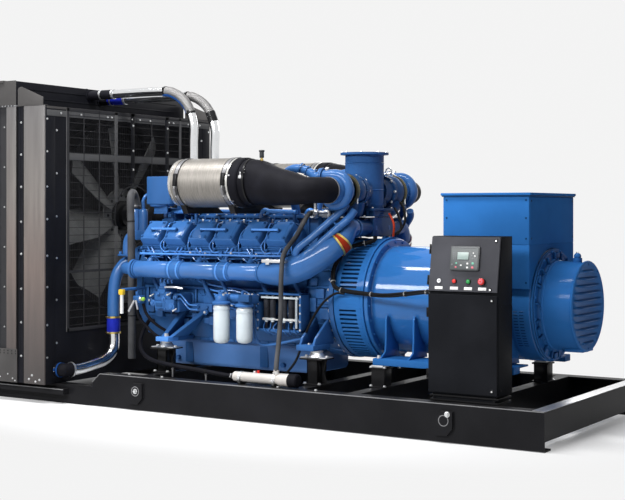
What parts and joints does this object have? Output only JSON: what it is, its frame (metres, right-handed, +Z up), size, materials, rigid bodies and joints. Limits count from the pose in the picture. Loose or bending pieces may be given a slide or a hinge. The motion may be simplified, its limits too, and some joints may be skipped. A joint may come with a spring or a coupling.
{
  "type": "diesel generator set",
  "caption": "Open skid-mounted diesel generator set: radiator with fan, V engine with turbochargers, alternator and control cabinet with two doors on a steel skid.",
  "frame": {"origin": "bottom centre of the bounding box, on the floor under the middle of the set", "axes": "+X from the radiator to the alternator, +Z up, -Y the side of the control cabinet"},
  "size_m": [4.7, 2.04, 2.4],
  "materials": {
    "skid_black": "satin black paint",
    "radiator_grey": "satin dark grey powder coat",
    "core_fins": "black painted fins",
    "fan_grey": "matt grey paint",
    "engine_blue": "gloss blue engine paint",
    "alternator_blue": "gloss blue paint",
    "stainless": "brushed stainless steel",
    "black_rubber": "matt black rubber",
    "white_paint": "gloss white paint",
    "rack_dark": "dark blue paint",
    "mount_silver": "cast",
    "polished_pipe": "polished steel",
    "cabinet_black": "fine textured black powder coat",
    "control_plastic": "moulded"
  },
  "bodies": {
    "root": {"skid_rail_near": "skid_black", "skid_rail_far": "skid_black", "skid_end_beam": "skid_black", "skid_cross_beams": "skid_black", "radiator_base_frame": "skid_black", "radiator_side_near": "radiator_grey", "radiator_side_far": "radiator_grey", "radiator_core": "core_fins", "radiator_top_tank": "radiator_grey", "radiator_bottom_tank": "radiator_grey", "shroud_frame": "radiator_grey", "fan_shroud": "radiator_grey", "fan_guard": "radiator_grey", "fan_drive": "engine_blue", "engine_block": "engine_blue", "oil_pan": "engine_blue", "gear_case": "engine_blue", "flywheel_housing": "engine_blue", "cylinder_heads_near": "engine_blue", "cylinder_heads_far": "engine_blue", "coolant_manifolds": "engine_blue", "charge_air_elbows": "engine_blue", "intake_plenum": "engine_blue", "air_filters": "stainless", "intake_hoses": "black_rubber", "turbochargers": "engine_blue", "exhaust_outlet": "engine_blue", "turbo_support": "engine_blue", "header_tank": "engine_blue", "breather_canisters": "engine_blue", "breather_hose": "black_rubber", "oil_filters": "white_paint", "oil_filter_heads": "engine_blue", "fuel_pump": "engine_blue", "injector_rack": "rack_dark", "coolant_heater": "white_paint", "heater_hoses": "black_rubber", "engine_feet": "engine_blue", "engine_mounts": "mount_silver", "engine_pedestals": "skid_black", "upper_coolant_pipes": "polished_pipe", "lower_coolant_pipe": "engine_blue", "adaptor_drum": "alternator_blue", "alternator_barrel": "alternator_blue", "alternator_pedestals": "skid_black", "alternator_end_bracket": "alternator_blue", "alternator_cowl": "alternator_blue", "alternator_casing": "alternator_blue", "terminal_box": "alternator_blue", "cabinet_body": "cabinet_black", "cable_loom": "black_rubber"},
    "fan": {"fan_rotor": "fan_grey"},
    "upper_door": {"cabinet_upper_door": "cabinet_black", "panel_controls": "control_plastic"},
    "lower_door": {"cabinet_lower_door": "cabinet_black"}
  },
  "joints": [
    {"name": "fan_spin", "type": "hinge", "parent": "root", "child": "fan", "pos_m": [-1.65, 0, 1.385], "axis": [1, 0, 0], "continuous": true},
    {"name": "upper_door_hinge", "type": "hinge", "parent": "root", "child": "upper_door", "pos_m": [1.543, -0.81283, 0.92209], "axis": [0, -0.1607, -0.987], "range_deg": [0, 110]},
    {"name": "lower_door_hinge", "type": "hinge", "parent": "root", "child": "lower_door", "pos_m": [1.543, -0.813, 0.39], "axis": [0, 0, -1], "range_deg": [0, 110]}
  ]
}
